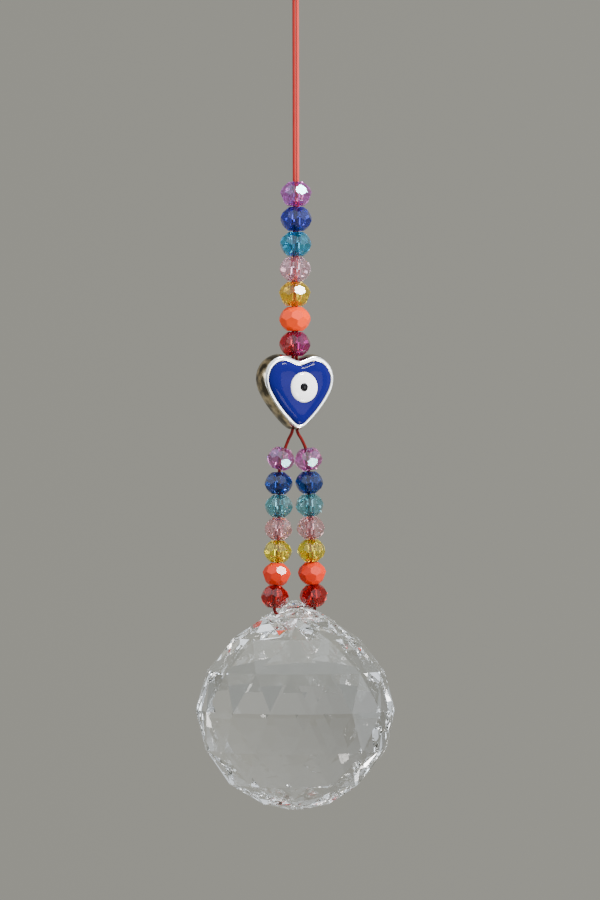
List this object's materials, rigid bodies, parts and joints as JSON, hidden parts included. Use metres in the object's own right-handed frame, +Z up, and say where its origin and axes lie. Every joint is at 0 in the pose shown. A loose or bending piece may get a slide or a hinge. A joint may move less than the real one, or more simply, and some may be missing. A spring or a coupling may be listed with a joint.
{
  "type": "suncatcher",
  "caption": "Hanging suncatcher: faceted crystal ball on two bead strands below an enamelled heart bead, more beads and a cord loop.",
  "frame": {"origin": "inner crown of the hanging loop, where the cord rests on its hook", "axes": "+Z up along the hanging cord, -Y towards the viewer, +X to the viewer's right"},
  "size_m": [0.0398, 0.0397, 0.2023],
  "materials": {
    "red_cord": "fine braided synthetic cord, matt",
    "glass_top_violet": "clear coloured glass, polished facets",
    "glass_top_blue": "clear coloured glass, polished facets",
    "glass_top_teal": "clear coloured glass, polished facets",
    "glass_top_pink": "clear coloured glass, polished facets",
    "glass_top_amber": "clear coloured glass, polished facets",
    "glass_top_coral": "opaque glass, polished facets",
    "glass_top_red": "clear coloured glass, polished facets",
    "glass_low_violet": "clear coloured glass, polished facets",
    "glass_low_blue": "clear coloured glass, polished facets",
    "glass_low_teal": "clear coloured glass, polished facets",
    "glass_low_pink": "clear coloured glass, polished facets",
    "glass_low_green": "clear coloured glass, polished facets",
    "glass_low_orange": "opaque glass, polished facets",
    "glass_low_red": "clear coloured glass, polished facets",
    "heart_metal": "polished silver plating on a cast alloy",
    "blue_enamel": "glossy royal blue enamel",
    "white_enamel": "glossy white enamel",
    "black_enamel": "glossy black enamel",
    "clear_crystal": "clear cut crystal, polished facets"
  },
  "bodies": {
    "root": {"cord": "red_cord", "loop_knot": "red_cord", "bead_top_violet": "glass_top_violet", "bead_top_blue": "glass_top_blue", "bead_top_teal": "glass_top_teal", "bead_top_pink": "glass_top_pink", "bead_top_amber": "glass_top_amber", "bead_top_coral": "glass_top_coral", "bead_top_red": "glass_top_red", "bead_left_violet": "glass_low_violet", "bead_right_violet": "glass_low_violet", "bead_left_blue": "glass_low_blue", "bead_right_blue": "glass_low_blue", "bead_left_teal": "glass_low_teal", "bead_right_teal": "glass_low_teal", "bead_left_pink": "glass_low_pink", "bead_right_pink": "glass_low_pink", "bead_left_green": "glass_low_green", "bead_right_green": "glass_low_green", "bead_left_orange": "glass_low_orange", "bead_right_orange": "glass_low_orange", "bead_left_red": "glass_low_red", "bead_right_red": "glass_low_red", "heart_frame": "heart_metal", "enamel_front": "blue_enamel", "eye_front": "white_enamel", "pupil_front": "black_enamel", "enamel_back": "blue_enamel", "eye_back": "white_enamel", "pupil_back": "black_enamel", "crystal_ball": "clear_crystal"}
  },
  "joints": []
}
